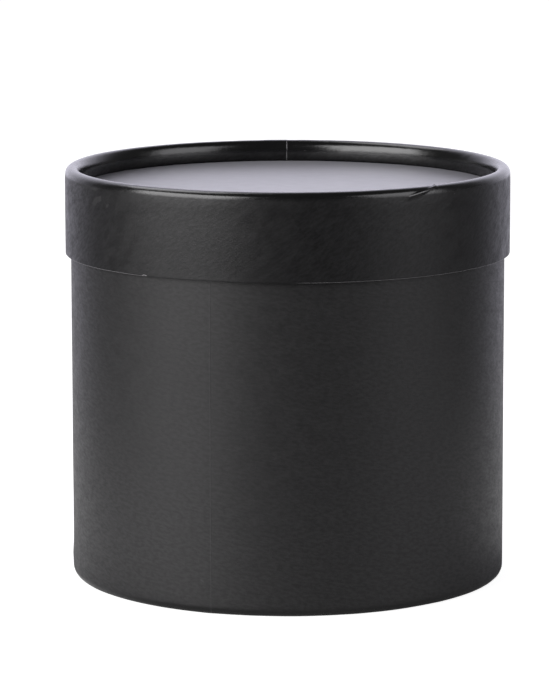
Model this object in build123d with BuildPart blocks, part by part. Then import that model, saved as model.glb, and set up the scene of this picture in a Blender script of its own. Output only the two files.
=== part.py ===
"""Cylindrical gift tube box: a paper-covered board tube with a recessed base and a telescoping lid.

Sizes are in millimetres. The origin is the centre of the foot ring, on the table, and +Z runs up the
tube's axis. Every round piece is turned from its section, drawn as (distance from the axis, height).
"""

import os
from math import cos, radians, sin

from build123d import *

# Whole box
lid_diameter = 110.0
box_height = 102.0
lid_height = 21.4

# Stock
paper_thickness = 0.15
board_thickness = 0.9
disc_thickness = 1.2

# Fits: the lid slides over the body, and each disc is glued into the end of its tube
running_clearance = 0.3
disc_clearance = 0.05

# Rolled edge: an oval scroll, as wide as the curling groove and as tall as the recess beside it
roll_width = 3.9
roll_height = 5.4

# Its outer side turns over in a rounder shoulder, which comes this far down the tube's wall
roll_shoulder = 2.0

# The scroll turns in short flats. Their corners are in degrees round the oval: 180 is at the tube's wall,
# 90 at the crest, 0 on the inner side, and the last is under the roll, where the cut end meets the disc.
# The foot's crest is a flat of its own, which is the ring that the box stands on.
lid_roll_angles = (180, 135, 90, 45, 0, -45)
foot_roll_angles = (180, 135, 105, 75, 25, -45)
hollow_angles = (90, 180)

# Radii, from the lid's paper inwards
lid_radius = lid_diameter / 2
lid_bore_radius = lid_radius - paper_thickness - board_thickness
lid_disc_radius = lid_bore_radius - disc_clearance
body_radius = lid_bore_radius - running_clearance
body_bore_radius = body_radius - paper_thickness - board_thickness
base_disc_radius = body_bore_radius - disc_clearance

# Levels, from the table up
base_disc_level = roll_height + paper_thickness
lid_cover_level = box_height - roll_height - paper_thickness
lid_disc_level = lid_cover_level - disc_thickness
body_mouth_level = lid_disc_level


def roll_points(roll_angles, corners, depth):
    """Corners of the scroll at a depth under its outer face, each (inwards from the wall, from the crest)."""
    crest_share = max(sin(radians(angle)) for angle in roll_angles)
    under_share = -min(sin(radians(angle)) for angle in roll_angles)
    half_width = roll_width / 2
    outer_half = roll_shoulder / crest_share
    inner_half = roll_height / (crest_share + under_share)
    points = []
    for angle in corners:
        half_height = inner_half if angle < 90 else outer_half
        inwards = half_width + (half_width - depth) * cos(radians(angle))
        from_crest = half_height * crest_share - (half_height - depth) * sin(radians(angle))
        points.append((inwards, from_crest))
    return points


def paper_section(roll_angles, length):
    """Covering paper: up the wall from the tube's cut edge, over the crest and under the roll, and back."""
    outside = roll_points(roll_angles, roll_angles, 0)
    inside = roll_points(roll_angles, roll_angles, paper_thickness)
    return [(0, length)] + outside + inside[::-1] + [(paper_thickness, length)]


def board_section(roll_angles, length):
    """Board tube under the paper: its free end thins out to a feather edge under the roll."""
    bore_depth = paper_thickness + board_thickness
    outside = roll_points(roll_angles, roll_angles, paper_thickness)
    hollow = roll_points(roll_angles, hollow_angles, bore_depth)
    return [(paper_thickness, length)] + outside + hollow + [(bore_depth, length)]


def on_body(section):
    """The section at the foot of the body, where the crest is down on the table."""
    return [(body_radius - inwards, from_crest) for inwards, from_crest in section]


def on_lid(section):
    """The section at the top of the lid, where the crest is up."""
    return [(lid_radius - inwards, box_height - from_crest) for inwards, from_crest in section]


# Body: the tube, its covering paper, and the base disc with the paper on its underside
with BuildPart() as body_tube:
    with BuildSketch(Plane.XZ):
        with BuildLine():
            Polyline(*on_body(board_section(foot_roll_angles, body_mouth_level)), close=True)
        make_face()
    revolve(axis=Axis.Z)

with BuildPart() as body_wrap:
    with BuildSketch(Plane.XZ):
        with BuildLine():
            Polyline(*on_body(paper_section(foot_roll_angles, body_mouth_level)), close=True)
        make_face()
    revolve(axis=Axis.Z)

with BuildPart() as base_disc:
    with BuildSketch(Plane.XY.offset(base_disc_level)):
        Circle(base_disc_radius)
    extrude(amount=disc_thickness)

with BuildPart() as base_disc_cover:
    with BuildSketch(Plane.XY.offset(base_disc_level)):
        Circle(base_disc_radius)
    extrude(amount=-paper_thickness)

# Lid: the same four pieces the other way up, one size wider
with BuildPart() as lid_tube:
    with BuildSketch(Plane.XZ):
        with BuildLine():
            Polyline(*on_lid(board_section(lid_roll_angles, lid_height)), close=True)
        make_face()
    revolve(axis=Axis.Z)

with BuildPart() as lid_wrap:
    with BuildSketch(Plane.XZ):
        with BuildLine():
            Polyline(*on_lid(paper_section(lid_roll_angles, lid_height)), close=True)
        make_face()
    revolve(axis=Axis.Z)

with BuildPart() as lid_disc:
    with BuildSketch(Plane.XY.offset(lid_disc_level)):
        Circle(lid_disc_radius)
    extrude(amount=disc_thickness)

with BuildPart() as lid_disc_cover:
    with BuildSketch(Plane.XY.offset(lid_cover_level)):
        Circle(lid_disc_radius)
    extrude(amount=paper_thickness)

pieces = {
    "body_tube": body_tube,
    "body_wrap": body_wrap,
    "base_disc": base_disc,
    "base_disc_cover": base_disc_cover,
    "lid_tube": lid_tube,
    "lid_wrap": lid_wrap,
    "lid_disc": lid_disc,
    "lid_disc_cover": lid_disc_cover,
}

os.makedirs("parts", exist_ok=True)
for name, piece in pieces.items():
    piece.part.label = name
    export_step(piece.part, f"parts/{name}.step")
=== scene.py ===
"""Looks of the cylindrical gift tube box: covering papers as wound sheets, finishes, light and camera.

Lengths are in metres, in the model's own frame. Angles round the box are in degrees, counted from +X towards
+Y, so that the front, which faces the camera, is at 270 and the back at 90.
"""

from math import cos, hypot, pi, radians, sin

import bpy
import numpy as np
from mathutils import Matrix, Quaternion, Vector


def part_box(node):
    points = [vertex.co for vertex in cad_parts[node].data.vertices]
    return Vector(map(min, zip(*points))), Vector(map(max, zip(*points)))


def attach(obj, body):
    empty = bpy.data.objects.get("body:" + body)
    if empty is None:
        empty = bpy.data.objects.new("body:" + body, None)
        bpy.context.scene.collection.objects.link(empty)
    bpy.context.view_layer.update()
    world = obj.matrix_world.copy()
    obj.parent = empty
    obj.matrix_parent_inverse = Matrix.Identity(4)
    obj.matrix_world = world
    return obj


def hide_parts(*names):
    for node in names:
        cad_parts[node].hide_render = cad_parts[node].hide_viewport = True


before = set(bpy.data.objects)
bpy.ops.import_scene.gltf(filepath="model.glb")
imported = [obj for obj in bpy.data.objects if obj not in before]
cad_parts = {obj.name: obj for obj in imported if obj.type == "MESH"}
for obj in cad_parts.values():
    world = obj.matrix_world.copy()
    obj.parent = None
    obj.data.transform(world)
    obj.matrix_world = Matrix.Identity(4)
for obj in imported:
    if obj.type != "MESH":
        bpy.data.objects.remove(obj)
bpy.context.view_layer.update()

MM = 0.001
FRONT = 270
BACK = 90

# Camera: a long lens a little above the lid, aimed so that the box stands right of the middle and below it
BOX_MIDDLE = Vector((0, 0, 50 * MM))
CAMERA_DISTANCE = 1007 * MM
CAMERA_ELEVATION = 9.904
CAMERA_AIM = Vector((-3.18 * MM, 0, 57.06 * MM))
CAMERA_ROLL = -0.1
CAMERA_LENS = 211.8
CAMERA_NEAR = 10 * MM
CAMERA_FAR = 20
SENSOR_SIZE = 36


def set_camera():
    """The camera stands in front of the box, on -Y, and looks slightly down on the lid."""
    data = bpy.data.cameras.new("camera")
    data.lens = CAMERA_LENS
    data.sensor_width = SENSOR_SIZE
    data.clip_start = CAMERA_NEAR
    data.clip_end = CAMERA_FAR
    camera = bpy.data.objects.new("camera", data)
    tilt = radians(CAMERA_ELEVATION)
    camera.location = BOX_MIDDLE + CAMERA_DISTANCE * Vector((0, -cos(tilt), sin(tilt)))
    look = (CAMERA_AIM - camera.location).to_track_quat("-Z", "Y")
    camera.rotation_mode = "QUATERNION"
    camera.rotation_quaternion = look @ Quaternion((0, 0, 1), radians(CAMERA_ROLL))
    bpy.context.scene.collection.objects.link(camera)
    bpy.context.scene.camera = camera


set_camera()


# Node helpers

# A Mix node's inputs for its share and its two colours, and its output for colour
MIX_INPUTS = (0, 6, 7)
MIX_OUTPUT = 2


def add_node(tree, kind, **settings):
    """A shader node of that kind. Settings that name an input go on its socket, and others on the node."""
    node = tree.nodes.new(kind)
    for key, value in settings.items():
        if hasattr(node, key):
            setattr(node, key, value)
        else:
            node.inputs[key.replace("_", " ")].default_value = value
    return node


def join(tree, output, target):
    """Links an output to an input."""
    tree.links.new(output, target)


def feed(tree, socket, value):
    """Gives an input its value: an output to link, an (r, g, b), or a number or vector as it stands."""
    if isinstance(value, bpy.types.NodeSocket):
        join(tree, value, socket)
    elif socket.type == "RGBA" and len(value) == 3:
        socket.default_value = (*value, 1)
    else:
        socket.default_value = value


def do_math(tree, operation, first, second=None, clamp=False):
    """A Math node on two values, each an output or a number. Returns its output."""
    node = tree.nodes.new("ShaderNodeMath")
    node.operation = operation
    node.use_clamp = clamp
    feed(tree, node.inputs[0], first)
    if second is not None:
        feed(tree, node.inputs[1], second)
    return node.outputs[0]


def vector_math(tree, operation, first, second=None, output="Vector"):
    """A Vector Math node on two vectors, or on a vector and a number that scales it. Returns its output."""
    node = add_node(tree, "ShaderNodeVectorMath", operation=operation)
    feed(tree, node.inputs[0], first)
    if second is not None:
        feed(tree, node.inputs["Scale" if operation == "SCALE" else 1], second)
    return node.outputs[output]


def remap(tree, value, low, high, to_low=0.0, to_high=1.0, smooth=True):
    """A value taken from one span to another, held at its ends. Returns the output."""
    node = tree.nodes.new("ShaderNodeMapRange")
    node.interpolation_type = "SMOOTHSTEP" if smooth else "LINEAR"
    join(tree, value, node.inputs["Value"])
    for name, number in (("From Min", low), ("From Max", high), ("To Min", to_low), ("To Max", to_high)):
        node.inputs[name].default_value = number
    return node.outputs["Result"]


def mix_values(tree, share, first, second):
    """Two values mixed: the first by the share, and the second by the rest. Returns the output."""
    rest = do_math(tree, "SUBTRACT", 1.0, share)
    return do_math(
        tree,
        "ADD",
        do_math(tree, "MULTIPLY", first, share),
        do_math(tree, "MULTIPLY", second, rest),
    )


def blend_colours(tree, share, first, second):
    """Two colours, from the first at share 0 to the second at 1. Each is an output or an (r, g, b)."""
    node = add_node(tree, "ShaderNodeMix", data_type="RGBA")
    for index, value in zip(MIX_INPUTS, (share, first, second)):
        feed(tree, node.inputs[index], value)
    return node.outputs[MIX_OUTPUT]


def make_noise(tree, vector, scale, detail, roughness, stretch=None):
    """Smooth noise from 0 to 1, drawn out by a stretch along each axis. Returns the output."""
    if stretch is not None:
        mapping = add_node(tree, "ShaderNodeMapping", vector_type="TEXTURE", Scale=stretch)
        join(tree, vector, mapping.inputs["Vector"])
        vector = mapping.outputs["Vector"]
    node = add_node(tree, "ShaderNodeTexNoise", Scale=scale, Detail=detail, Roughness=roughness)
    join(tree, vector, node.inputs["Vector"])
    return node.outputs["Fac"]


def split_vector(tree, vector):
    """The X, Y and Z outputs of a vector."""
    node = tree.nodes.new("ShaderNodeSeparateXYZ")
    join(tree, vector, node.inputs[0])
    return node.outputs


def new_group(name, inputs, outputs):
    """An empty node group with those sockets, each a (name, kind). Returns (tree, ins, outs)."""
    tree = bpy.data.node_groups.new(name, "ShaderNodeTree")
    kinds = {"value": "NodeSocketFloat", "vector": "NodeSocketVector", "colour": "NodeSocketColor"}
    for side, sockets in (("INPUT", inputs), ("OUTPUT", outputs)):
        for socket_name, kind in sockets:
            tree.interface.new_socket(socket_name, in_out=side, socket_type=kinds[kind])
    ins = tree.nodes.new("NodeGroupInput")
    outs = tree.nodes.new("NodeGroupOutput")
    return tree, ins.outputs, outs.inputs


def use_group(tree, group, **values):
    """A group placed in a material with its own values, each an output, a number or a vector."""
    node = tree.nodes.new("ShaderNodeGroup")
    node.node_tree = group
    for key, value in values.items():
        feed(tree, node.inputs[key.replace("_", " ")], value)
    return node.outputs


# Paper: each noise is (cells per metre, octaves, roughness), and each span runs from what counts as 0 to 1
FIBRE_NOISE = (1 / (0.7 * MM), 3, 0.6)
FIBRE_STRETCH = (2.2, 1.0, 1.0)
FIBRE_SPAN = (0.32, 0.68)
GRAIN_NOISE = (1 / (0.28 * MM), 2, 0.6)
CLOUD_NOISE = (1 / (3.0 * MM), 3, 0.55)
CLOUD_STRETCH = (1.5, 1.0, 1.0)
CLOUD_SPAN = (0.3, 0.7)
FLECK_SPACING = 2.2 * MM
FLECK_SIZE = 0.07
FLECK_CHANCE = (0.93, 0.99)

# Cut edges of paper: the core shows where the noise passes a level, which falls as more of the edge is bare
FRAY_NOISE = (1 / (1.6 * MM), 3, 0.7)
FRAY_LEVEL = 0.75
FRAY_FALL = 0.5
FRAY_STEEPNESS = 6.0

# Rubbed marks
SCUFF_NOISE = (1 / (0.25 * MM), 3, 0.7)
SCUFF_SPAN = (1.2, 0.6)
SCUFF_LEAST_LENGTH_SQUARED = 1e-12

# Board: recycled greyboard in plies, with glue between them
PLY_NOISE = (900, 2, 0.5)
PLY_WANDER = 0.35
PLY_LINE = 0.16
PULP_NOISE = (3500, 4, 0.7)
GLUE_SHARE = 0.55
BOARD_DARK = (0.16, 0.14, 0.12)
BOARD_LIGHT = (0.30, 0.275, 0.24)
BOARD_GLUE = (0.09, 0.075, 0.06)


# Effects that more than one material uses


def make_paper_group():
    """Covering paper: long fibres on a slant, fine grain, slow clouds in its shine, a few pale flecks."""
    tree, ins, outs = new_group(
        "covering_paper",
        [("Place", "vector"), ("Fibre Slant", "value"), ("Fibre Share", "value")],
        [("Clouds", "value"), ("Fibres", "value"), ("Flecks", "value"), ("Height", "value")],
    )
    turned = add_node(tree, "ShaderNodeVectorRotate", rotation_type="Z_AXIS")
    join(tree, ins["Place"], turned.inputs["Vector"])
    join(tree, ins["Fibre Slant"], turned.inputs["Angle"])
    fibres = make_noise(tree, turned.outputs["Vector"], *FIBRE_NOISE, stretch=FIBRE_STRETCH)
    grain = make_noise(tree, ins["Place"], *GRAIN_NOISE)
    clouds = make_noise(tree, turned.outputs["Vector"], *CLOUD_NOISE, stretch=CLOUD_STRETCH)
    join(tree, remap(tree, clouds, *CLOUD_SPAN), outs["Clouds"])
    join(tree, remap(tree, fibres, *FIBRE_SPAN), outs["Fibres"])
    cells = add_node(tree, "ShaderNodeTexVoronoi", Scale=1 / FLECK_SPACING)
    join(tree, ins["Place"], cells.inputs["Vector"])
    chosen = add_node(tree, "ShaderNodeSeparateColor")
    join(tree, cells.outputs["Color"], chosen.inputs[0])
    fleck = remap(tree, cells.outputs["Distance"], FLECK_SIZE, FLECK_SIZE / 2)
    fleck = do_math(tree, "MULTIPLY", fleck, remap(tree, chosen.outputs[0], *FLECK_CHANCE))
    join(tree, fleck, outs["Flecks"])
    join(tree, mix_values(tree, ins["Fibre Share"], fibres, grain), outs["Height"])
    return tree


def make_fray_group():
    """A cut edge of paper, pale along a share of its length: its core showing, and on the lid's edge also a
    painted highlight.
    """
    tree, ins, outs = new_group(
        "frayed_edge",
        [("Place", "vector"), ("Distance", "value"), ("Width", "value"), ("Share", "value")],
        [("Mask", "value")],
    )
    near = do_math(tree, "DIVIDE", ins["Distance"], ins["Width"])
    near = do_math(tree, "SUBTRACT", 1.0, near, clamp=True)
    broken = make_noise(tree, ins["Place"], *FRAY_NOISE)
    level = do_math(tree, "SUBTRACT", FRAY_LEVEL, do_math(tree, "MULTIPLY", ins["Share"], FRAY_FALL))
    cover = do_math(tree, "SUBTRACT", broken, level)
    cover = do_math(tree, "MULTIPLY", cover, FRAY_STEEPNESS, clamp=True)
    join(tree, do_math(tree, "MULTIPLY", near, cover), outs["Mask"])
    return tree


def make_scuff_group():
    """A rubbed streak between two places on a sheet, ragged at its sides. Width is half its breadth."""
    tree, ins, outs = new_group(
        "scuffed_streak",
        [("Place", "vector"), ("Start", "vector"), ("End", "vector"), ("Width", "value")],
        [("Mask", "value")],
    )
    reach = vector_math(tree, "SUBTRACT", ins["Place"], ins["Start"])
    span = vector_math(tree, "SUBTRACT", ins["End"], ins["Start"])
    along = vector_math(tree, "DOT_PRODUCT", reach, span, output="Value")
    whole = vector_math(tree, "DOT_PRODUCT", span, span, output="Value")
    whole = do_math(tree, "MAXIMUM", whole, SCUFF_LEAST_LENGTH_SQUARED)
    along = do_math(tree, "DIVIDE", along, whole, clamp=True)
    aside = vector_math(tree, "SUBTRACT", reach, vector_math(tree, "SCALE", span, along))
    aside = vector_math(tree, "LENGTH", aside, output="Value")
    aside = do_math(tree, "DIVIDE", aside, ins["Width"])
    aside = do_math(tree, "ADD", aside, make_noise(tree, ins["Place"], *SCUFF_NOISE))
    join(tree, remap(tree, aside, *SCUFF_SPAN), outs["Mask"])
    return tree


def make_ply_group():
    """The plies of a board seen at its cut edge. Depth is measured through the board."""
    tree, ins, outs = new_group(
        "board_plies",
        [("Place", "vector"), ("Depth", "value"), ("Ply", "value")],
        [("Colour", "colour"), ("Height", "value")],
    )
    layer = do_math(tree, "DIVIDE", ins["Depth"], ins["Ply"])
    wander = make_noise(tree, ins["Place"], *PLY_NOISE)
    layer = do_math(tree, "ADD", layer, do_math(tree, "MULTIPLY", wander, PLY_WANDER))
    line = remap(tree, do_math(tree, "PINGPONG", layer, 0.5), 0.0, PLY_LINE, 1.0, 0.0)
    pulp = make_noise(tree, ins["Place"], *PULP_NOISE)
    colour = blend_colours(tree, pulp, BOARD_DARK, BOARD_LIGHT)
    colour = blend_colours(tree, do_math(tree, "MULTIPLY", line, GLUE_SHARE), colour, BOARD_GLUE)
    join(tree, colour, outs["Colour"])
    join(tree, do_math(tree, "SUBTRACT", pulp, line), outs["Height"])
    return tree


paper_group = make_paper_group()
fray_group = make_fray_group()
scuff_group = make_scuff_group()
ply_group = make_ply_group()


# Materials. Each pair of blacks is the colour at its darkest and at its palest, and the clouds' share is
# theirs in the shine of a wrapping paper, whose fibres have the rest
SHEET_MAP = "sheet"
LID_BLACKS = ((0.0010, 0.0009, 0.0010), (0.0130, 0.0125, 0.0135))
BODY_BLACKS = ((0.0110, 0.0107, 0.0110), (0.0230, 0.0225, 0.0232))
DISC_BLACKS = ((0.022, 0.0215, 0.024), (0.030, 0.0295, 0.033))
LINING_BLACKS = ((0.010, 0.010, 0.0105), (0.018, 0.0175, 0.018))
PAPER_CORE = (0.32, 0.31, 0.32)
FLECK_PALENESS = 0.12
CLOUD_SHARE = 0.5
STRETCH_FADE = 4 * MM

# Where a roll's glaze and its painted shade come in, from the start of the roll, and where they go, from the
# innermost point
GLAZE_IN = (-0.48 * MM, 1.12 * MM)
GLAZE_OUT = (0.48 * MM, -0.64 * MM)
ROLL_GLAZE = 0.5
# Share by which the roll's colour is darkened towards black: painted shade on the bead
ROLL_PAINTED_SHADE = 0.9
WRAP_VALUES = {"Specular IOR Level": 0.5, "Coat Roughness": 0.22}

DISC_SLANT = 0.3
DISC_FIBRE_SHARE = 0.5
DISC_ROUGHNESS = (0.36, 0.42)
DISC_BUMP = 0.004 * MM
DISC_VALUES = {
    "Specular IOR Level": 0.7,
    "Coat Weight": 1.0,
    "Coat Roughness": 0.3,
    "Sheen Weight": 0.27,
    "Sheen Roughness": 0.5,
    "Sheen Tint": (0.91, 0.9, 1.0, 1),
}

# Plies show where a tube's faces look up or down, and where a disc's look sideways
TUBE_CUT = (0.8, 0.9)
DISC_CUT = (0.5, 0.4)
PLY_THICKNESS = 0.3 * MM
LINING_NOISE = (1 / (0.28 * MM), 3, 0.6)
BOARD_ROUGHNESS = (0.55, 0.9)
BOARD_BUMP = 0.02 * MM


def new_material(name, values):
    """A material whose Principled shader has those plain values. Returns (material, tree, shader)."""
    material = bpy.data.materials.new(name)
    material.use_nodes = True
    tree = material.node_tree
    shader = next(n for n in tree.nodes if n.type == "BSDF_PRINCIPLED")
    for socket_name, value in values.items():
        shader.inputs[socket_name].default_value = value
    return material, tree, shader


def add_bump(tree, shader, height, depth):
    """Bump of that depth in metres on the shader."""
    bump = add_node(tree, "ShaderNodeBump", Strength=1.0, Distance=depth)
    join(tree, height, bump.inputs["Height"])
    join(tree, bump.outputs["Normal"], shader.inputs["Normal"])


def make_wrap_paper(name, blacks, slant, fibre_share, roughness, bump_depth, roll, edge, seam, marks):
    """Black covering paper of a tube: burnished on its roll, where its colour is darkened near to black as
    painted shade, pale at its cut edges and where it is rubbed.

    Roughness is (least, most, on the roll). Roll is where it starts and where it turns under. Edge is
    (width, stretches), each stretch a (start, end, share) along the edge. Seam is (width, share, strength).
    Marks are (start, end, half breadth, strength) in the sheet's own map.
    """
    material, tree, shader = new_material(name, WRAP_VALUES)
    place = add_node(tree, "ShaderNodeUVMap", uv_map=SHEET_MAP).outputs["UV"]
    paper = use_group(tree, paper_group, Place=place, Fibre_Slant=radians(slant), Fibre_Share=fibre_share)
    along, across = split_vector(tree, place)[:2]

    pale = use_group(tree, fray_group, Place=place, Distance=along, Width=seam[0], Share=seam[1])["Mask"]
    pale = do_math(tree, "MULTIPLY", pale, seam[2])
    # Pale stretches of the lid's cut edge: bare core, and painted highlight where the edge catches the light
    for start, end, share in edge[1]:
        inside = do_math(
            tree,
            "MULTIPLY",
            remap(tree, along, start, start + STRETCH_FADE),
            remap(tree, along, end, end - STRETCH_FADE),
        )
        edge_core_and_highlight = use_group(tree, fray_group, Place=place, Distance=across, Width=edge[0], Share=share)["Mask"]
        pale = do_math(tree, "MAXIMUM", pale, do_math(tree, "MULTIPLY", edge_core_and_highlight, inside))
    for start, end, width, strength in marks:
        mark = use_group(tree, scuff_group, Place=place, Start=start, End=end, Width=width)["Mask"]
        pale = do_math(tree, "MAXIMUM", pale, do_math(tree, "MULTIPLY", mark, strength))
    pale = do_math(tree, "MAXIMUM", pale, do_math(tree, "MULTIPLY", paper["Flecks"], FLECK_PALENESS))

    shine = mix_values(tree, CLOUD_SHARE, paper["Clouds"], paper["Fibres"])
    rolled = do_math(
        tree,
        "MULTIPLY",
        remap(tree, across, *(roll[0] + reach for reach in GLAZE_IN)),
        remap(tree, across, *(roll[1] + reach for reach in GLAZE_OUT)),
    )
    black = blend_colours(tree, paper["Fibres"], *blacks)
    # Painted shade: the roll's colour darkened towards black
    black = blend_colours(tree, do_math(tree, "MULTIPLY", rolled, ROLL_PAINTED_SHADE), black, (0.0, 0.0, 0.0))
    join(tree, blend_colours(tree, pale, black, PAPER_CORE), shader.inputs["Base Color"])
    wall = remap(tree, shine, 1.0, 0.0, roughness[0], roughness[1], smooth=False)
    smoother = remap(tree, rolled, 0.0, 1.0, 1.0, roughness[2] / roughness[1])
    join(tree, do_math(tree, "MULTIPLY", wall, smoother), shader.inputs["Roughness"])
    join(tree, do_math(tree, "MULTIPLY", rolled, ROLL_GLAZE), shader.inputs["Coat Weight"])
    add_bump(tree, shader, paper["Height"], bump_depth)
    return material


def make_disc_paper():
    """Black paper of the discs. Its nap is pale where it is seen at a low angle."""
    material, tree, shader = new_material("disc_paper", DISC_VALUES)
    place = add_node(tree, "ShaderNodeUVMap", uv_map=SHEET_MAP).outputs["UV"]
    paper = use_group(tree, paper_group, Place=place, Fibre_Slant=DISC_SLANT, Fibre_Share=DISC_FIBRE_SHARE)
    join(tree, blend_colours(tree, paper["Clouds"], *DISC_BLACKS), shader.inputs["Base Color"])
    join(tree, remap(tree, paper["Clouds"], 0, 1, *DISC_ROUGHNESS), shader.inputs["Roughness"])
    add_bump(tree, shader, paper["Height"], DISC_BUMP)
    return material


def make_board(name, is_tube):
    """Greyboard with a black inner ply. A tube shows its plies by radius, and a disc by height."""
    material, tree, shader = new_material(name, {})
    place = tree.nodes.new("ShaderNodeTexCoord").outputs["Object"]
    facing = split_vector(tree, tree.nodes.new("ShaderNodeNewGeometry").outputs["True Normal"])
    looks_up = do_math(tree, "ABSOLUTE", facing["Z"])
    if is_tube:
        flat = vector_math(tree, "MULTIPLY", place, (1, 1, 0))
        depth = vector_math(tree, "LENGTH", flat, output="Value")
        cut = remap(tree, looks_up, *TUBE_CUT)
    else:
        depth = split_vector(tree, place)["Z"]
        cut = remap(tree, looks_up, *DISC_CUT)
    plies = use_group(tree, ply_group, Place=place, Depth=depth, Ply=PLY_THICKNESS)
    grain = make_noise(tree, place, *LINING_NOISE)
    lining = blend_colours(tree, grain, *LINING_BLACKS)
    join(tree, blend_colours(tree, cut, lining, plies["Colour"]), shader.inputs["Base Color"])
    join(tree, remap(tree, cut, 0, 1, *BOARD_ROUGHNESS), shader.inputs["Roughness"])
    height = do_math(tree, "ADD", do_math(tree, "MULTIPLY", plies["Height"], cut), grain)
    add_bump(tree, shader, height, BOARD_BUMP)
    return material


# Sizes read from the frame

WALL_TOLERANCE = 0.01 * MM


def radius_of(node):
    """Outer radius of a round node."""
    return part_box(node)[1].x


def least_radius_of(node):
    """Radius of a node's innermost point."""
    return min(hypot(v.co.x, v.co.y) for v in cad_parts[node].data.vertices)


def wall_top_of(node):
    """Level where a node's upright outer wall ends under its roll."""
    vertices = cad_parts[node].data.vertices
    wall = radius_of(node) - WALL_TOLERANCE
    return max(v.co.z for v in vertices if hypot(v.co.x, v.co.y) > wall)


lid_radius = radius_of("lid_wrap")
lid_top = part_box("lid_wrap")[1].z
lid_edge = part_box("lid_wrap")[0].z
body_radius = radius_of("body_wrap")
body_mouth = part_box("body_wrap")[1].z
paper_thickness = lid_radius - radius_of("lid_tube")
roll_width = lid_radius - least_radius_of("lid_wrap")
roll_height = lid_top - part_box("lid_disc_cover")[1].z
roll_shoulder = lid_top - wall_top_of("lid_wrap")


# Rolls: the paper follows an oval from the wall at 180 degrees over the crest at 90 to its cut end. The
# lid's is round at its crest, and the foot's is flat from 75 degrees to 105
ROLL_START = 180
ROLL_END = -45
LID_CREST = 90
FOOT_CREST = 75

# Squareness of a roll on its outer side and on its inner one: 2 is an oval, and more has a flatter crest
LID_SQUARENESS = (2.1, 2.3)
FOOT_SQUARENESS = (2, 2)

# Rows of the sheets' meshes, with close ones just inside the cut edge
LID_WALL_STEP = 0.6 * MM
BODY_WALL_STEP = 1.4 * MM
LID_ROLL_ROWS = 36
FOOT_ROLL_ROWS = 22
EDGE_ROWS = (0.02 * MM, 0.06 * MM, 0.11 * MM, 0.17 * MM, 0.24 * MM, 0.32 * MM)


def signed_power(value, power):
    """A number to a power, with its sign kept."""
    return np.sign(value) * abs(value) ** power


def roll_outline(crest, rows, squareness):
    """Outer line of a roll from the wall to its cut end, each point (inwards, from_crest, out, up)."""
    half_width = roll_width / 2
    crest_share = sin(radians(crest))
    outer_half = roll_shoulder / crest_share
    inner_half = roll_height / (crest_share - sin(radians(ROLL_END)))
    line = []
    for angle in np.linspace(ROLL_START, ROLL_END, rows):
        half_height, power = (inner_half, squareness[1]) if angle < 90 else (outer_half, squareness[0])
        across, along = cos(radians(angle)), sin(radians(angle))
        if along <= 0:
            power = 2
        across, along = signed_power(across, 2 / power), signed_power(along, 2 / power)
        from_crest = max(half_height * (crest_share - along), 0.0)
        slope = (signed_power(across, power - 1) * half_height, signed_power(along, power - 1) * half_width)
        normal = Vector(slope).normalized() if from_crest > 0 else Vector((0, 1))
        line.append((half_width * (1 + across), from_crest, normal.x, normal.y))
    return line


def sheet_outline(crest, length, wall_step, roll_rows, squareness):
    """Outer line of a paper from its cut edge, each point (inwards, from_crest, out, up, distance)."""
    roll = roll_outline(crest, roll_rows, squareness)
    wall_rows = max(2, round((length - roll[0][1]) / wall_step))
    levels = [*np.linspace(length, roll[0][1], wall_rows + 1)[:-1]]
    levels[1:1] = [length - step for step in EDGE_ROWS]
    wall = [(0.0, level, -1.0, 0.0) for level in levels]
    line, distance = [], 0.0
    for point in wall + roll:
        if line:
            distance += hypot(point[0] - line[-1][0], point[1] - line[-1][1])
        line.append((*point, distance))
    return np.array(line)


lid_outline = sheet_outline(LID_CREST, lid_top - lid_edge, LID_WALL_STEP, LID_ROLL_ROWS, LID_SQUARENESS)
body_outline = sheet_outline(FOOT_CREST, body_mouth, BODY_WALL_STEP, FOOT_ROLL_ROWS, FOOT_SQUARENESS)


# Shapes on a sheet

SPARE_ROWS = 4


def smooth_step(share):
    """A share from 0 to 1, eased at both ends."""
    return share * share * (3 - 2 * share)


def hump(places, centre, width):
    """A smooth hump of height 1 at a centre."""
    return np.exp(-(((places - centre) / width) ** 2))


def hump_round(angles, centre, width):
    """A smooth hump of height 1 at an angle round the box."""
    return hump((angles - centre + 180) % 360 - 180, 0, width)


def rumple(turns, along, height, cells, cell_length, seed):
    """Smooth random relief up to that height either way, which closes on itself round the tube."""
    rows = int(np.ptp(along) / cell_length) + SPARE_ROWS
    table = np.random.default_rng(seed).uniform(-1, 1, (cells, rows))
    u = (turns % 1) * cells
    v = (along - along.min()) / cell_length
    i, j = np.floor(u).astype(int), np.floor(v).astype(int)
    share_u, share_v = smooth_step(u - i), smooth_step(v - j)
    here, after = i % cells, (i + 1) % cells
    low = table[here, j] * (1 - share_u) + table[after, j] * share_u
    high = table[here, j + 1] * (1 - share_u) + table[after, j + 1] * share_u
    return height * (low * (1 - share_v) + high * share_v)


def crease(angles, distance, path, width, height):
    """A raised fold along a path of (angle, distance) points, over a sheet of the lid's radius."""
    across = np.radians(angles) * lid_radius
    least = np.full(np.shape(across), np.inf)
    for (a0, d0), (a1, d1) in zip(path, path[1:]):
        start = np.array([radians(a0) * lid_radius, d0])
        span = np.array([radians(a1) * lid_radius, d1]) - start
        reach_x, reach_y = across - start[0], distance - start[1]
        share = np.clip((reach_x * span[0] + reach_y * span[1]) / (span @ span), 0, 1)
        least = np.minimum(least, np.hypot(reach_x - share * span[0], reach_y - share * span[1]))
    return height * hump(least, 0, width)


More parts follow.
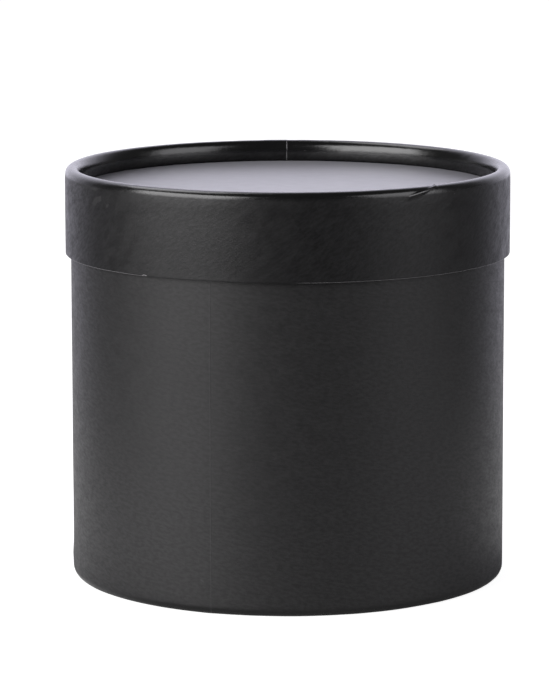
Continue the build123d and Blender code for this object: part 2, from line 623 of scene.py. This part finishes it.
# Relief of the papers. Each layer is (height, cells round the tube, length of a cell, seed), and each hump
# (centre, width), in metres or in degrees round the box
LID_WAVES = (0.025 * MM, 30, 9 * MM, 11)
LID_WRINKLES = (0.035 * MM, 210, 4 * MM, 12)
LID_PUCKERS = (0.04 * MM, 84, 3.5 * MM, 13)
LID_DIMPLES = (0.014 * MM, 150, 2.2 * MM, 15)
BODY_WAVES = (0.03 * MM, 22, 16 * MM, 21)
BODY_PUCKERS = (0.025 * MM, 80, 3.5 * MM, 22)

# Where the curl has wrinkled the lid's paper: below its crest, and round it as (angle, spread, strength)
LID_GATHER = (6 * MM, 3.5 * MM)
LID_GATHER_DEPTH = 0.03 * MM
WRINKLED = ((213, 11, 1.0), (316, 10, 0.7), (40, 20, 0.6), (128, 24, 0.6))
WRINKLED_LEAST = 0.3
WRINKLE_SLANT = 4.1

# How the shoulder of the lid's rim eases into the wall, and where its dimples start, up the sheet
EASE_DEPTH = 0.06 * MM
EASE = (19.6 * MM, 1.2 * MM)
DIMPLES_START = 19 * MM
DIMPLES_FADE = 2 * MM

# Fold over the rim, as (angle, distance up the sheet) from below the bead to its crest
RIM_FOLD = ((301.4, 19.4 * MM), (306.1, 20.3 * MM), (310.4, 21.5 * MM), (311.0, 22.8 * MM))
RIM_FOLD_WIDTH = 0.3 * MM
RIM_FOLD_HEIGHT = 0.24 * MM

# The lid's cut edge: pressed in, most at one side, set back unevenly, and nicked
PRESS_DEPTH = 0.06 * MM
PRESS_REACH = 0.3 * MM
PRESS_LEAST = 0.2
PRESSED = (258, 28)
LID_EDGE_UNEVEN = (0.03 * MM, 70, 1.0, 14)
NICK = (231.7, 0.4)
NICK_DEPTH = 0.2 * MM

# Above the foot: puckers, and a swell on the left
FOOT_GATHER = (3 * MM, 5 * MM)
SWELL_HEIGHT = 0.2 * MM
SWELL_ABOVE_FOOT = (4.7 * MM, 2.6 * MM)
SWELL_ROUND = (182, 16)


def lid_relief(angles, distance, from_crest):
    """Height of the lid's paper: slow waves, wrinkles on a slant under the bead, a fold over the rim."""
    turns = angles / 360
    slanted = turns - distance * WRINKLE_SLANT
    strength = WRINKLED_LEAST + sum(s * hump_round(angles, a, w) for a, w, s in WRINKLED)
    gathered = hump(from_crest, *LID_GATHER) * strength
    wrinkles = rumple(slanted, distance, *LID_WRINKLES) + rumple(slanted, distance, *LID_PUCKERS)
    beaded = 1 - hump(np.maximum(distance, DIMPLES_START), DIMPLES_START, DIMPLES_FADE)
    dimples = rumple(slanted, distance, *LID_DIMPLES) * beaded
    eased = EASE_DEPTH * hump(distance, *EASE)
    fold = crease(angles % 360, distance, RIM_FOLD, RIM_FOLD_WIDTH, RIM_FOLD_HEIGHT)
    pressed = (1 - np.clip(distance / PRESS_REACH, 0, 1)) ** 2
    pressed = PRESS_DEPTH * pressed * (PRESS_LEAST + (1 - PRESS_LEAST) * hump_round(angles, *PRESSED))
    raised = rumple(turns, distance, *LID_WAVES) + gathered * (wrinkles - LID_GATHER_DEPTH) + dimples + fold
    return raised - pressed - eased


def lid_trim(angles):
    """How far the lid's cut edge is set back: a little uneven, with one nick."""
    uneven = rumple(angles / 360, np.zeros_like(angles), *LID_EDGE_UNEVEN) + LID_EDGE_UNEVEN[0]
    return uneven + NICK_DEPTH * hump_round(angles, *NICK)


def body_relief(angles, distance, from_crest):
    """Height of the body's paper: slow waves, puckers above the foot, and a swell there on the left."""
    turns = angles / 360
    waves = rumple(turns, distance, *BODY_WAVES)
    puckers = rumple(turns, distance, *BODY_PUCKERS) * hump(from_crest, *FOOT_GATHER)
    swell = SWELL_HEIGHT * hump(from_crest, *SWELL_ABOVE_FOOT) * hump_round(angles, *SWELL_ROUND)
    return waves + puckers + swell


def body_trim(angles):
    """The body's mouth is cut true, under the lid."""
    return np.zeros_like(angles)


# Meshes of the papers. The back of a sheet lies hidden, so it has only some of the rows of its face
COLUMNS = 720
LAP_COLUMNS = 9
SEAM_COLUMNS = (0.04 * MM, 0.1 * MM, 0.2 * MM, 0.34 * MM)
SEAM_STEP = 0.02 * MM
BACK_ROW_STEP = 3
SHEET_SINK = 0.08 * MM
TRIM_REACH = 1.5 * MM
LAP_SOFTNESS = 1.0 * MM
LID_SEAM = BACK + 0.15
LID_LAP = 6.6
LID_LAP_RISE = 0.05 * MM
BODY_SEAM = FRONT - 19.95
BODY_LAP = -2.9
BODY_LAP_RISE = 0.02 * MM
DISC_RINGS = 59
DISC_SIDES = 240
DISC_UNEVEN = (0.02 * MM, 9, 13 * MM)


def add_piece(name, points, faces, spots):
    """A smooth mesh piece, with the place of each corner of its faces in the sheet's own map."""
    mesh = bpy.data.meshes.new(name)
    mesh.from_pydata(points, [], faces)
    layer = mesh.uv_layers.new(name=SHEET_MAP)
    layer.uv.foreach_set("vector", spots.astype(np.float32).ravel())
    mesh.shade_smooth()
    piece = bpy.data.objects.new(name, mesh)
    bpy.context.scene.collection.objects.link(piece)
    return piece


def sheet_turns(radius, lap):
    """Angles of a sheet's columns, counted from its seam, closer at the seam and at the overlap's end."""
    even = np.linspace(0, 360, COLUMNS, endpoint=False)
    lap_end = abs(lap) + np.linspace(-1, 1, LAP_COLUMNS) * np.degrees(LAP_SOFTNESS / radius)
    beside_seam = np.degrees(np.array(SEAM_COLUMNS) / radius)
    last = 360 - np.degrees(SEAM_STEP / radius)
    return np.unique(np.concatenate([even, lap_end, beside_seam, last - beside_seam, [last]]))


def shell_faces(columns, rows):
    """Faces of a closed shell whose points stand in columns, each column a ring of rows."""
    column = np.arange(columns)[:, None]
    row = np.arange(rows)[None, :]
    next_column, next_row = (column + 1) % columns, (row + 1) % rows
    corners = [
        column * rows + row,
        next_column * rows + row,
        next_column * rows + next_row,
        column * rows + next_row,
    ]
    return np.stack(np.broadcast_arrays(*corners), 2).reshape(-1, 4)


def wound_sheet(name, outline, radius, crest_level, up, seam, lap, rise_over, relief, trim):
    """A tube's covering paper as one closed shell with its overlap raised, laid out flat in its own map.

    Up is 1 where the roll is on top and -1 where it is at the foot. Seam is the angle of the visible cut
    edge, and lap the overlap in degrees, signed by the way that it runs, which lifts the sheet by rise_over.
    Relief gives the height of the surface, and trim how far the cut edge is set back.
    """
    way = np.sign(lap)
    turn = sheet_turns(radius, lap)
    inwards, from_crest, out, rise, distance = outline.T
    grid_turn, grid_distance = np.meshgrid(turn, distance, indexing="ij")
    grid_angle = np.broadcast_to((seam + way * turn)[:, None], grid_turn.shape)
    into_lap = np.radians(abs(lap) - grid_turn) * radius / LAP_SOFTNESS
    lapped = smooth_step(np.clip(into_lap * 0.5 + 0.5, 0, 1))
    height = relief(grid_angle, grid_distance, np.broadcast_to(from_crest, grid_turn.shape))
    height = height + rise_over * lapped - SHEET_SINK
    back_height = np.minimum(height, 0) - paper_thickness
    set_back = trim(grid_angle) * np.clip(1 - grid_distance / TRIM_REACH, 0, 1)

    def place(lift):
        radial = radius - inwards - out * lift
        level = np.maximum(crest_level - up * (from_crest - set_back - rise * lift), 0)
        spot = np.radians(grid_angle)
        return np.stack([radial * np.cos(spot), radial * np.sin(spot), level], 2)

    back_rows = np.unique([*range(0, len(outline), BACK_ROW_STEP), len(outline) - 1])[::-1]
    rings = np.concatenate([place(height), place(back_height)[:, back_rows]], 1)
    flat = np.stack([np.radians(grid_turn) * radius, grid_distance], 2)
    flat = np.concatenate([flat, flat[:, back_rows]], 1)
    columns, rows = rings.shape[:2]
    faces = shell_faces(columns, rows)
    if way * up < 0:
        faces = faces[:, ::-1]
    spots = flat.reshape(-1, 2)[faces]
    past_last = (faces // rows == 0) & (faces.max(1)[:, None] // rows == columns - 1)
    spots[..., 0] += past_last * 2 * pi * radius
    return add_piece(name, rings.reshape(-1, 3).tolist(), faces.tolist(), spots)


def disc_paper_piece(name, node, up, seed):
    """Paper of a disc, a shell that lies a little uneven on its board. Up is 1 where its face looks up."""
    low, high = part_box(node)
    rings = np.linspace(0, high.x, DISC_RINGS + 1)[1:]
    angles = np.linspace(0, 2 * pi, DISC_SIDES, endpoint=False)
    grid_radius, grid_angle = np.meshgrid(rings, angles, indexing="ij")
    x, y = grid_radius * np.cos(grid_angle), grid_radius * np.sin(grid_angle)
    uneven = rumple(grid_angle / (2 * pi), grid_radius, *DISC_UNEVEN, seed) - DISC_UNEVEN[0]
    face_level, back_level = (high.z, low.z) if up > 0 else (low.z, high.z)
    face = np.stack([x, y, face_level + up * uneven], 2).reshape(-1, 3)
    back = np.stack([x, y, np.full_like(x, back_level)], 2).reshape(-1, 3)
    points = [*face.tolist(), *back.tolist(), (0, 0, face_level), (0, 0, back_level)]
    face_middle, back_middle = len(points) - 2, len(points) - 1
    rim = len(face) - DISC_SIDES
    faces = []
    for side in range(DISC_SIDES):
        after = (side + 1) % DISC_SIDES
        for start, middle in ((0, face_middle), (len(face), back_middle)):
            wedge = [(middle, start + side, start + after)]
            for ring in range(start, start + rim, DISC_SIDES):
                outer = ring + DISC_SIDES
                wedge.append((ring + side, outer + side, outer + after, ring + after))
            is_flipped = (start == 0) != (up > 0)
            faces += [quad[::-1] if is_flipped else quad for quad in wedge]
        edge = (rim + side, len(face) + rim + side, len(face) + rim + after, rim + after)
        faces.append(edge if up > 0 else edge[::-1])
    corners = np.concatenate(faces)
    return add_piece(name, points, faces, np.array(points)[corners, :2])


lid_paper = wound_sheet(
    "lid_paper",
    lid_outline,
    lid_radius,
    crest_level=lid_top,
    up=1,
    seam=LID_SEAM,
    lap=LID_LAP,
    rise_over=LID_LAP_RISE,
    relief=lid_relief,
    trim=lid_trim,
)
body_paper = wound_sheet(
    "body_paper",
    body_outline,
    body_radius,
    crest_level=0,
    up=-1,
    seam=BODY_SEAM,
    lap=BODY_LAP,
    rise_over=BODY_LAP_RISE,
    relief=body_relief,
    trim=body_trim,
)
lid_disc_paper = disc_paper_piece("lid_disc_paper", "lid_disc_cover", up=1, seed=31)
base_disc_paper = disc_paper_piece("base_disc_paper", "base_disc_cover", up=-1, seed=32)


# Wear and finishes of the papers


def lid_spot(angle, distance):
    """A place on the lid's sheet, from its angle round the box and its distance up the sheet."""
    return (radians((angle - LID_SEAM) % 360) * lid_radius, distance, 0)


def body_spot(angle, level):
    """A place on the body's sheet, from its angle round the box and its level above the table."""
    return (radians((BODY_SEAM - angle) % 360) * body_radius, body_mouth - level, 0)


def lid_stretch(start, end, share):
    """A stretch of the lid's cut edge between two angles."""
    return (lid_spot(start, 0)[0], lid_spot(end, 0)[0], share)


def roll_reach(outline, rows):
    """Distances up a sheet at which its roll starts and its innermost point comes."""
    return outline[-rows, 4], outline[np.argmax(outline[:, 0]), 4]


# Rubbed marks: on the rim's fold, at the nick, beside the fold, and on the rim's far side near its seam
lid_marks = [
    (lid_spot(301.4, 19.5 * MM), lid_spot(306.3, 20.4 * MM), 0.22 * MM, 0.5),
    (lid_spot(231.0, 0.1 * MM), lid_spot(232.4, 0.15 * MM), 0.2 * MM, 1.0),
    (lid_spot(316.1, 19.0 * MM), lid_spot(316.3, 19.0 * MM), 0.14 * MM, 0.3),
    (lid_spot(84.9, 26.2 * MM), lid_spot(85.0, 26.2 * MM), 0.2 * MM, 0.3),
]

# On the body: one above the foot, left of the front
body_marks = [(body_spot(247.2, 8.3 * MM), body_spot(247.9, 7.9 * MM), 0.3 * MM, 0.06)]

# Stretches of the lid's cut edge painted pale, each (start, end, share): the bare core, and painted
# highlight where the edge catches the light
lid_stretches = [lid_stretch(196, 233, 0.9), lid_stretch(271, 356, 0.85), lid_stretch(20, 70, 0.6)]

lid_paper_finish = make_wrap_paper(
    "lid_paper",
    LID_BLACKS,
    slant=-33,
    fibre_share=0.6,
    roughness=(0.32, 0.53, 0.24),
    bump_depth=0.047 * MM,
    roll=roll_reach(lid_outline, LID_ROLL_ROWS),
    edge=(0.11 * MM, lid_stretches),
    seam=(0.26 * MM, 0.78, 1.0),
    marks=lid_marks,
)
body_paper_finish = make_wrap_paper(
    "body_paper",
    BODY_BLACKS,
    slant=8,
    fibre_share=0.3,
    roughness=(0.38, 0.54, 0.34),
    bump_depth=0.031 * MM,
    roll=roll_reach(body_outline, FOOT_ROLL_ROWS),
    edge=(0.1 * MM, []),
    seam=(0.45 * MM, 1.0, 0.055),
    marks=body_marks,
)
disc_paper_finish = make_disc_paper()

for piece, body, node, slot, finish in (
    (lid_paper, "lid", "lid_wrap", "lid_paper", lid_paper_finish),
    (body_paper, "body", "body_wrap", "body_paper", body_paper_finish),
    (lid_disc_paper, "lid", "lid_disc_cover", "disc_paper", disc_paper_finish),
    (base_disc_paper, "body", "base_disc_cover", "disc_paper", disc_paper_finish),
):
    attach(piece, body)
    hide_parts(node)
    piece.data.materials.append(finish)

tube_board = make_board("tube_board", True)
disc_board = make_board("disc_board", False)
for node, finish in (
    ("lid_tube", tube_board),
    ("body_tube", tube_board),
    ("lid_disc", disc_board),
    ("base_disc", disc_board),
):
    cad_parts[node].data.materials.clear()
    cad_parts[node].data.materials.append(finish)


# Studio: a white floor, a room that is white behind the box and dark behind the camera, and three softboxes
FLOOR_HALF_WIDTH = 200 * MM
FLOOR_FRONT = -150 * MM
FLOOR_REAR = 3.0
FLOOR_VALUES = {
    "Base Color": (0.5, 0.5, 0.5, 1),
    "Roughness": 1,
    "Specular IOR Level": 0,
    "Emission Color": (1, 1, 1, 1),
}
FLOOR_LIFT = 0.88

# Painted light: where mirror rays see the floor glow brighter, on its left and towards its rear, each (from,
# to, least, most): along X, and along X and Y together
FLOOR_LIT_SIDE = (-30 * MM, -100 * MM, 0.0, 0.52)
FLOOR_LIT_REAR = (70 * MM, 120 * MM, 0.0, 0.5)

# The white wall of the room: where it fades in round the box, and where it fades out upwards, lower at +X
ROOM_DARK = (0.1, 0.1, 0.1)
ROOM_WHITE = (1.0, 0.98, 1.13)
BACKDROP_EDGE = (0.4, 1.0)
BACKDROP_TOP = (0.95, 0.6)
BACKDROP_LEAN = 0.5
LEAST_LEVEL_SHARE_SQUARED = 0.0001

# Softboxes: azimuth from the camera, right being positive, elevation, distance, width, height, power, colour
SOFTBOXES = (
    ("left_softbox", -54.5, 21, 1.0, 1.0, 0.75, 11.0, (1.0, 0.99, 1.0)),
    ("right_softbox", 63, 21, 1.0, 0.7, 0.75, 3.25, (0.98, 0.97, 1.0)),
    ("rear_softbox", -125, 60, 1.2, 0.7, 0.6, 3.0, (0.99, 0.98, 1.0)),
)


def set_floor():
    """A plain white floor that keeps the box's shadow and lifts to white for the viewer, and glows as
    painted light on its left and rear for mirror rays.
    """
    mesh = bpy.data.meshes.new("floor")
    ends = (FLOOR_FRONT, FLOOR_FRONT, FLOOR_REAR, FLOOR_REAR)
    sides = (-FLOOR_HALF_WIDTH, FLOOR_HALF_WIDTH, FLOOR_HALF_WIDTH, -FLOOR_HALF_WIDTH)
    mesh.from_pydata([(x, y, 0) for x, y in zip(sides, ends)], [], [(0, 1, 2, 3)])
    floor = bpy.data.objects.new("floor", mesh)
    bpy.context.scene.collection.objects.link(floor)
    material, tree, shader = new_material("floor", FLOOR_VALUES)
    rays = tree.nodes.new("ShaderNodeLightPath").outputs
    place = split_vector(tree, tree.nodes.new("ShaderNodeTexCoord").outputs["Object"])
    rearwards = do_math(tree, "ADD", place["X"], place["Y"])
    # Painted light on the floor, seen only in reflections: brighter on the left and towards the rear
    lit_side = remap(tree, place["X"], *FLOOR_LIT_SIDE)
    lit = do_math(tree, "MAXIMUM", lit_side, remap(tree, rearwards, *FLOOR_LIT_REAR))
    mirrored = do_math(tree, "MAXIMUM", rays["Is Glossy Ray"], rays["Is Transmission Ray"])
    seen = do_math(tree, "MAXIMUM", rays["Is Camera Ray"], do_math(tree, "MULTIPLY", mirrored, lit))
    join(tree, do_math(tree, "MULTIPLY", seen, FLOOR_LIFT), shader.inputs["Emission Strength"])
    below = tree.nodes.new("ShaderNodeNewGeometry").outputs["Backfacing"]
    join(tree, do_math(tree, "SUBTRACT", 1.0, below), shader.inputs["Alpha"])
    mesh.materials.append(material)


def set_world():
    """White behind the box, dark behind the camera."""
    world = bpy.data.worlds.new("studio")
    bpy.context.scene.world = world
    world.use_nodes = True
    tree = world.node_tree
    background = next(n for n in tree.nodes if n.type == "BACKGROUND")
    direction = split_vector(tree, tree.nodes.new("ShaderNodeTexCoord").outputs["Generated"])
    level_share = do_math(tree, "SUBTRACT", 1.0, do_math(tree, "POWER", direction["Z"], 2.0))
    level_share = do_math(tree, "MAXIMUM", level_share, LEAST_LEVEL_SHARE_SQUARED)
    level_share = do_math(tree, "SQRT", level_share)
    behind = remap(tree, do_math(tree, "DIVIDE", direction["Y"], level_share), *BACKDROP_EDGE)
    leaning = do_math(tree, "MULTIPLY", direction["X"], BACKDROP_LEAN)
    height = do_math(tree, "ADD", direction["Z"], leaning)
    behind = do_math(tree, "MULTIPLY", behind, remap(tree, height, *BACKDROP_TOP))
    room = blend_colours(tree, behind, ROOM_DARK, ROOM_WHITE)
    rays = tree.nodes.new("ShaderNodeLightPath").outputs
    join(tree, blend_colours(tree, rays["Is Camera Ray"], room, (1.0, 1.0, 1.0)), background.inputs["Color"])


def add_softbox(name, azimuth, elevation, distance, width, height, power, colour):
    """A rectangular area lamp that faces the box."""
    data = bpy.data.lights.new(name, "AREA")
    data.shape = "RECTANGLE"
    data.size = width
    data.size_y = height
    data.energy = power
    data.color = colour
    lamp = bpy.data.objects.new(name, data)
    a, e = radians(azimuth), radians(elevation)
    offset = Vector((sin(a) * cos(e), -cos(a) * cos(e), sin(e))) * distance
    lamp.location = BOX_MIDDLE + offset
    lamp.rotation_mode = "QUATERNION"
    lamp.rotation_quaternion = (-offset).to_track_quat("-Z", "Y")
    lamp.visible_camera = False
    bpy.context.scene.collection.objects.link(lamp)


set_floor()
set_world()
for softbox in SOFTBOXES:
    add_softbox(*softbox)

bpy.context.scene.view_settings.view_transform = "Standard"
